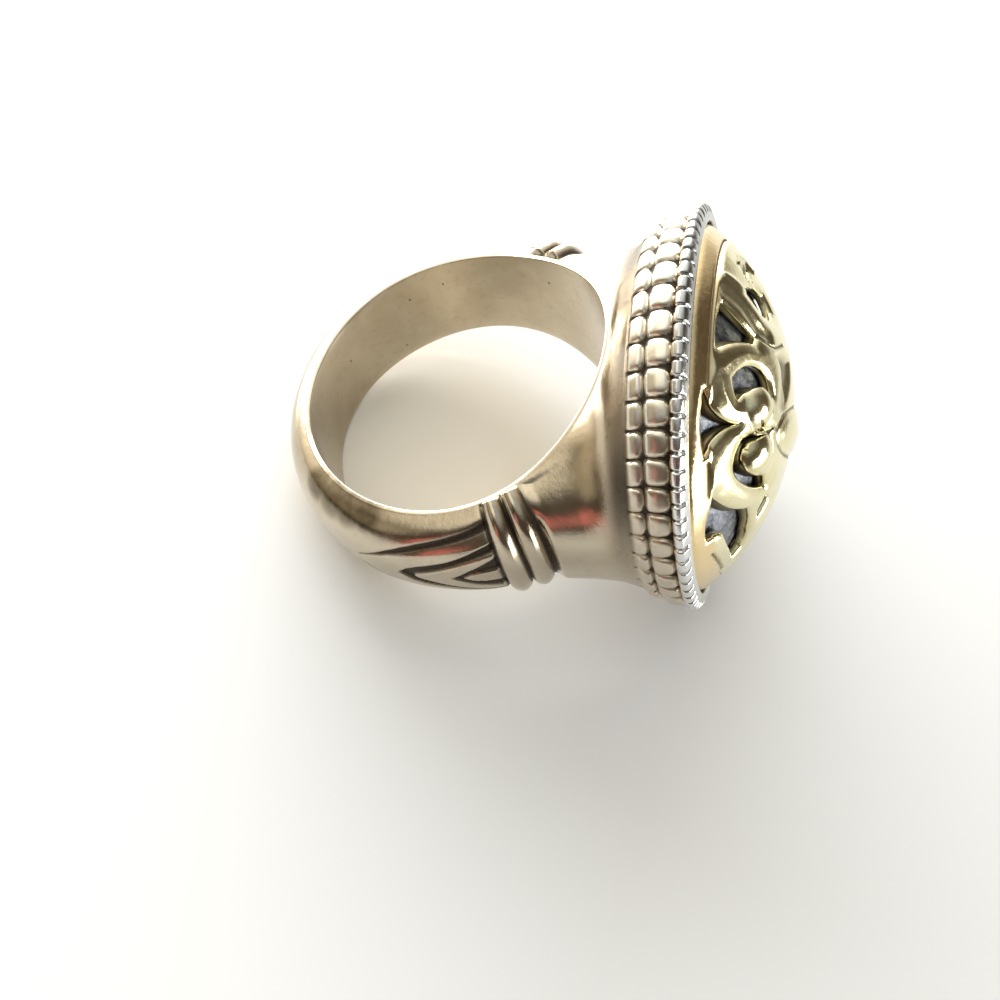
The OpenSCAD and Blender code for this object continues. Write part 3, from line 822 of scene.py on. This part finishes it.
class Net:
    def __init__(self, nt):
        self.nt = nt
        tc = nt.nodes.new("ShaderNodeTexCoord")
        mp = nt.nodes.new("ShaderNodeMapping")
        mp.inputs["Scale"].default_value = (1000, 1000, 1000)
        nt.links.new(tc.outputs["Object"], mp.inputs["Vector"])
        self.mm = mp.outputs[0]

    def link(self, a, b):
        self.nt.links.new(a, b)

    def noise(self, scale, detail=3.0, rough=0.5, vec=None, dist=0.0):
        n = self.nt.nodes.new("ShaderNodeTexNoise")
        n.inputs["Scale"].default_value = scale
        n.inputs["Detail"].default_value = detail
        n.inputs["Roughness"].default_value = rough
        n.inputs["Distortion"].default_value = dist
        self.link(vec or self.mm, n.inputs["Vector"])
        return n.outputs["Fac"]

    def stretch(self, scale, rot=(0, 0, 0)):
        m = self.nt.nodes.new("ShaderNodeMapping")
        m.inputs["Scale"].default_value = scale
        m.inputs["Rotation"].default_value = rot
        self.link(self.mm, m.inputs["Vector"])
        return m.outputs[0]

    def along(self, axis):
        n = self.nt.nodes.new("ShaderNodeVectorMath")
        n.operation = "DOT_PRODUCT"
        n.inputs[1].default_value = axis
        self.link(self.mm, n.inputs[0])
        return n.outputs["Value"]

    def spot(self, at, radius):
        """1 within a small ball round a point, in mm."""
        n = self.nt.nodes.new("ShaderNodeVectorMath")
        n.operation = "DISTANCE"
        n.inputs[1].default_value = at
        self.link(self.mm, n.inputs[0])
        return self.ramp(n.outputs["Value"], radius * 0.45, radius, 1.0, 0.0)

    def ramp(self, fac, lo, hi, a=0.0, b=1.0):
        n = self.nt.nodes.new("ShaderNodeMapRange")
        n.interpolation_type = "SMOOTHSTEP"
        for k, v in (("From Min", lo), ("From Max", hi), ("To Min", a), ("To Max", b)):
            n.inputs[k].default_value = v
        self.link(fac, n.inputs["Value"])
        return n.outputs["Result"]

    def math(self, op, a, b):
        n = self.nt.nodes.new("ShaderNodeMath")
        n.operation = op
        for i, v in enumerate((a, b)):
            if hasattr(v, "is_linked") or hasattr(v, "node"):
                self.link(v, n.inputs[i])
            else:
                n.inputs[i].default_value = v
        return n.outputs[0]

    def mix(self, fac, a, b):
        n = self.nt.nodes.new("ShaderNodeMix")
        n.data_type = "RGBA"
        for key, v in ((0, fac), (6, a), (7, b)):
            if isinstance(v, (tuple, list)):
                n.inputs[key].default_value = tuple(v) + ((1,) if len(v) == 3 else ())
            elif isinstance(v, float):
                n.inputs[key].default_value = v
            else:
                self.link(v, n.inputs[key])
        return n.outputs[2]

    def attr(self, name):
        n = self.nt.nodes.new("ShaderNodeAttribute")
        n.attribute_name = name
        return n.outputs["Fac"]

    def bump(self, height, dist, strength=1.0, normal=None):
        n = self.nt.nodes.new("ShaderNodeBump")
        n.inputs["Distance"].default_value = dist
        n.inputs["Strength"].default_value = strength
        self.link(height, n.inputs["Height"])
        if normal is not None:
            self.link(normal, n.inputs["Normal"])
        return n.outputs[0]


def silver():
    m, nt, b = new_material("silver_polished")
    t = Net(nt)
    broad = t.noise(0.42, 3, 0.55)
    mid = t.noise(2.1, 4, 0.6)
    fine = t.noise(14.0, 3, 0.6)
    scr = t.noise(1.0, 2, 0.5, vec=t.stretch((1.2, 26, 26), (0.2, 0.5, 0.4)))
    scr2 = t.noise(1.0, 2, 0.5, vec=t.stretch((22, 1.0, 22), (0.7, 0.1, 1.1)))
    pit = None
    for x, y, z, r in ((4.15, 4.88, 4.70, 0.11), (-11.53, 3.22, 3.28, 0.085), (-8.64, 6.37, 1.76, 0.07), (-8.83, 7.18, 5.21, 0.10),
                       (-7.05, 8.17, 6.14, 0.075), (-0.87, 7.73, 8.81, 0.11), (-10.6, 5.25, 4.05, 0.06)):
        k = t.spot((x, y, z), r)
        pit = k if pit is None else t.math("MAXIMUM", pit, k)
    col = t.mix(t.ramp(broad, 0.35, 0.68), (0.53, 0.46, 0.355), (0.60, 0.53, 0.415))
    tarn = t.ramp(mid, 0.52, 0.74, 0.0, 0.30)
    col = t.mix(tarn, col, (0.38, 0.315, 0.225))
    brown_patch = None                                       # dark brown patches painted on the back of the band
    for x, y, z, r in ((-11.1, -6.9, 5.9, 1.25), (-10.0, -7.85, 6.4, 1.45), (-9.0, -8.4, 6.8, 1.45), (-8.0, -8.85, 7.2, 1.15)):
        k = t.spot((x, y, z), r)
        brown_patch = k if brown_patch is None else t.math("MAXIMUM", brown_patch, k)
    brown_patch = t.math("MULTIPLY", brown_patch, t.ramp(mid, 0.30, 0.62, 0.84, 0.66))
    col = t.mix(brown_patch, col, (0.14, 0.115, 0.075))
    out = t.along((CT, 0, ST))
    scales = t.math("MULTIPLY", t.ramp(out, 9.08, 9.36), t.ramp(out, 11.12, 11.24, 1.0, 0.0))
    across = t.along((0, 1, 0))
    # weight that rises towards +y across the ring; it sets where the two tones below are painted
    plus_y_weight = t.ramp(across, -9.8, -5.5, 0.25, 1.0)
    collar = t.math("MULTIPLY", t.ramp(out, 6.9, 8.1), t.ramp(out, 9.08, 9.36, 1.0, 0.0))
    collar = t.math("MULTIPLY", collar, plus_y_weight)
    col = t.mix(t.math("MULTIPLY", collar, 0.80), col, (0.54, 0.43, 0.295))     # a warm brown tone painted just before the scales, stronger towards +y
    col = t.mix(t.math("MULTIPLY", t.math("MULTIPLY", scales, plus_y_weight), 0.90), col, (0.93, 0.88, 0.765))    # the scales are painted paler and duller, more so towards +y
    rim = t.mix(t.ramp(across, -6.5, -1.0), (0.80, 0.81, 0.81), (0.43, 0.455, 0.46))
    col = t.mix(t.ramp(out, 11.25, 11.45, 0.0, 0.90), col, rim)      # the beaded rim is painted cooler and darker, staying light towards -y
    # darkening read from the mesh, partly oxide and partly painted shade; the pits are added to it
    ox = t.attr("oxide")
    grime_and_shade = t.math("MULTIPLY", ox, t.ramp(fine, 0.15, 0.75, 0.88, 1.0))
    grime_and_shade = t.math("MAXIMUM", grime_and_shade, t.math("MULTIPLY", pit, 0.85))
    col = t.mix(grime_and_shade, col, (0.040, 0.030, 0.020))
    rough = t.math("ADD", t.ramp(broad, 0.3, 0.7, 0.13, 0.20), t.ramp(mid, 0.45, 0.75, 0.0, 0.06))
    rough = t.math("ADD", rough, t.math("MULTIPLY", grime_and_shade, 0.34))
    rough = t.math("ADD", rough, t.ramp(out, 8.95, 9.25, 0.0, 0.05))
    rough = t.math("ADD", rough, t.math("MULTIPLY", scales, 0.11))
    t.link(col, b.inputs["Base Color"])
    t.link(rough, b.inputs["Roughness"])
    t.link(t.ramp(grime_and_shade, 0.2, 1.0, 1.0, 0.80), b.inputs["Metallic"])
    n1 = t.bump(t.math("ADD", scr, scr2), 2.2e-6, 0.8)
    n2 = t.bump(mid, 1.2e-5, 1.0, n1)
    t.link(n2, b.inputs["Normal"])
    return m


def gold():
    m, nt, b = new_material("gold_polished")
    t = Net(nt)
    broad = t.noise(0.5, 3, 0.5)
    mid = t.noise(2.4, 4, 0.6)
    fine = t.noise(15.0, 3, 0.6)
    scr = t.noise(1.0, 2, 0.5, vec=t.stretch((24, 1.2, 24), (0.3, 0.9, 0.2)))
    col = t.mix(t.ramp(broad, 0.35, 0.68), (0.79, 0.725, 0.44), (0.86, 0.80, 0.53))
    col = t.mix(t.ramp(mid, 0.52, 0.76, 0.0, 0.30), col, (0.56, 0.48, 0.25))
    col = t.mix(t.ramp(t.along((CT, 0, ST)), 12.70, 13.10, 0.65, 0.0), col, (0.93, 0.68, 0.36))      # a redder tone along the border
    # darkening read from the mesh: dark engraved lines, and painted shade down the openings, under the dome and in its
    # dips and hollow
    ox = t.attr("oxide")
    grime_and_shade = t.math("MULTIPLY", ox, t.ramp(fine, 0.2, 0.75, 0.82, 1.0))
    col = t.mix(grime_and_shade, col, (0.050, 0.036, 0.016))
    rough = t.math("ADD", t.ramp(broad, 0.3, 0.7, 0.12, 0.19), t.ramp(mid, 0.45, 0.75, 0.0, 0.06))
    rough = t.math("ADD", rough, t.math("MULTIPLY", grime_and_shade, 0.32))
    t.link(col, b.inputs["Base Color"])
    t.link(rough, b.inputs["Roughness"])
    t.link(t.ramp(grime_and_shade, 0.2, 1.0, 1.0, 0.6), b.inputs["Metallic"])
    n1 = t.bump(scr, 2.0e-6, 0.8)
    n2 = t.bump(mid, 1.6e-5, 1.0, n1)
    t.link(n2, b.inputs["Normal"])
    return m


def plate():
    m, nt, b = new_material("dark_silver_oxidised")
    t = Net(nt)
    a = t.noise(1.4, 4, 0.62)
    c = t.noise(5.5, 4, 0.65)
    f = t.noise(20.0, 3, 0.6)
    col = t.mix(t.ramp(a, 0.38, 0.66), (0.11, 0.125, 0.15), (0.33, 0.355, 0.40))
    col = t.mix(t.ramp(c, 0.52, 0.72, 0.0, 0.75), col, (0.58, 0.60, 0.64))
    col = t.mix(t.ramp(c, 0.30, 0.44, 0.6, 0.0), col, (0.030, 0.032, 0.036))
    t.link(col, b.inputs["Base Color"])
    b.inputs["Metallic"].default_value = 0.85
    t.link(t.ramp(a, 0.3, 0.7, 0.24, 0.42), b.inputs["Roughness"])
    n1 = t.bump(f, 6e-6, 0.9)
    n2 = t.bump(c, 2.2e-5, 1.0, n1)
    t.link(n2, b.inputs["Normal"])
    return m


# ---------------------------------------------------------------------------
# Camera, at the photograph's angle
cam_data = bpy.data.cameras.new("camera")
cam = bpy.data.objects.new("camera", cam_data)
bpy.context.scene.collection.objects.link(cam)
right, up, back = turned((0.9604, 0.1646, -0.2247)), turned((-0.0266, 0.8572, 0.5143)), turned((0.2772, -0.4879, 0.8277))
pos = laid((19.76, -36.3, 50.86))
rot = Matrix((right.normalized(), up.normalized(), back.normalized())).transposed()
cam.matrix_world = Matrix.Translation(Vector(pos)) @ rot.to_4x4()
cam_data.sensor_fit = "HORIZONTAL"
cam_data.sensor_width = 36.0
cam_data.lens = 40.95
cam_data.shift_x = 0.0027
cam_data.shift_y = 0.0043
cam_data.clip_start = 0.002
cam_data.clip_end = 10
bpy.context.scene.camera = cam

# ---------------------------------------------------------------------------
# Pieces
M_SILVER, M_GOLD, M_PLATE = silver(), gold(), plate()
body = ring_body()
scales = scale_rows()
beads = beaded_rim()
openwork = dome()
for ob, mat, slot, node in ((body, M_SILVER, "silver", "silver_ring"), (scales, M_SILVER, "silver", "silver_ring"),
                            (beads, M_SILVER, "silver", "silver_ring"), (openwork, M_GOLD, "gold", "gold_dome")):
    ob.data.materials.append(mat)
    print(ob.name, sum(len(p.vertices) - 2 for p in ob.data.polygons), "triangles")
    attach(ob, "root")
    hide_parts(node)
plate_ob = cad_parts["dark_plate"]
for k in range(len(plate_ob.material_slots)):
    plate_ob.material_slots[k].material = M_PLATE

# ---------------------------------------------------------------------------
# Table and light
me = bpy.data.meshes.new("table")
S = 1.2
me.from_pydata([(-S, -S, 0), (S, -S, 0), (S, S, 0), (-S, S, 0)], [], [(0, 1, 2, 3)])
table = bpy.data.objects.new("table", me)
bpy.context.scene.collection.objects.link(table)
mt, nt, b = new_material("table_pale")
t = Net(nt)
# the table is painted dark far off on two sides: painted shade for the metal to reflect
far_shade = t.ramp(t.along((0.906, 0.423, 0)), 56.0, 125.0)
# warm pool of light painted on the table round the ring: painted bounce light from the metal
near = t.spot((-5.0, 0.0, 0.0), 11.5)
pale = t.mix(near, (0.865, 0.885, 0.905), (0.88, 0.84, 0.75))
pale = t.mix(t.ramp(t.along((-0.98, -0.20, 0)), 54.0, 128.0), pale, (0.16, 0.14, 0.105))
nt.links.new(t.mix(far_shade, pale, (0.34, 0.32, 0.29)), b.inputs["Base Color"])
b.inputs["Roughness"].default_value = 0.19
me.materials.append(mt)

w = bpy.data.worlds.new("studio")
bpy.context.scene.world = w
w.use_nodes = True
wn = w.node_tree
wn.nodes.clear()
wo = wn.nodes.new("ShaderNodeOutputWorld")
bg = wn.nodes.new("ShaderNodeBackground")
wn.links.new(bg.outputs[0], wo.inputs[0])
way = wn.nodes.new("ShaderNodeTexCoord")


def heading(azimuth, elevation):
    a, e = math.radians(azimuth), math.radians(elevation)
    return (math.cos(a) * math.cos(e), math.sin(a) * math.cos(e), math.sin(e))


def glow(total, azimuth, elevation, inner, outer, color):
    """Adds a soft patch of light to the room, full within inner degrees and gone at outer degrees."""
    d = wn.nodes.new("ShaderNodeVectorMath")
    d.operation = "DOT_PRODUCT"
    d.inputs[1].default_value = heading(azimuth, elevation)
    wn.links.new(way.outputs["Generated"], d.inputs[0])
    r = wn.nodes.new("ShaderNodeMapRange")
    r.interpolation_type = "SMOOTHSTEP"
    r.inputs["From Min"].default_value = math.cos(math.radians(outer))
    r.inputs["From Max"].default_value = math.cos(math.radians(inner))
    wn.links.new(d.outputs["Value"], r.inputs["Value"])
    m = wn.nodes.new("ShaderNodeMix")
    m.data_type = "RGBA"
    m.inputs[7].default_value = (*color, 1)
    m.inputs[6].default_value = (0, 0, 0, 1)
    wn.links.new(r.outputs[0], m.inputs[0])
    t = wn.nodes.new("ShaderNodeMix")
    t.data_type = "RGBA"
    t.blend_type = "ADD"
    t.inputs[0].default_value = 1.0
    if total is None:
        t.inputs[6].default_value = (0.100, 0.080, 0.058, 1)
    else:
        wn.links.new(total, t.inputs[6])
    wn.links.new(m.outputs[2], t.inputs[7])
    return t.outputs[2]


room = glow(None, 112, 18, 20, 68, (1.45, 1.38, 1.24))
room = glow(room, 165, 16, 8, 34, (0.56, 0.47, 0.32))
room = glow(room, 90, 90, 12, 58, (0.46, 0.50, 0.52))
room = glow(room, -167, 60, 9, 28, (0.98, 0.90, 0.70))
room = glow(room, -156, 20, 6, 20, (0.40, 0.35, 0.25))
room = glow(room, -118, 10, 7, 12.5, (0.74, 0.19, 0.18))
wn.links.new(room, bg.inputs["Color"])
bg.inputs["Strength"].default_value = 1.0


def area(name, towards, dist, size, power, color):
    """A soft light that shines at the ring from the direction given in the row's frame."""
    d = bpy.data.lights.new(name, "AREA")
    d.shape = "RECTANGLE"
    d.size, d.size_y = size
    d.energy = power
    d.color = color
    o = bpy.data.objects.new(name, d)
    v = Vector(towards).normalized()
    o.location = v * dist + Vector((0, 0, 0.008))
    o.rotation_euler = v.to_track_quat("Z", "Y").to_euler()
    bpy.context.scene.collection.objects.link(o)
    return o


area("key_window", heading(116, 16), 0.5, (0.74, 0.22), 5.4, (1.0, 0.99, 0.97))
area("low_right", heading(-12, 6.5), 0.6, (0.52, 0.13), 1.95, (1.0, 0.99, 0.97))
bpy.context.scene.view_settings.view_transform = "Standard"
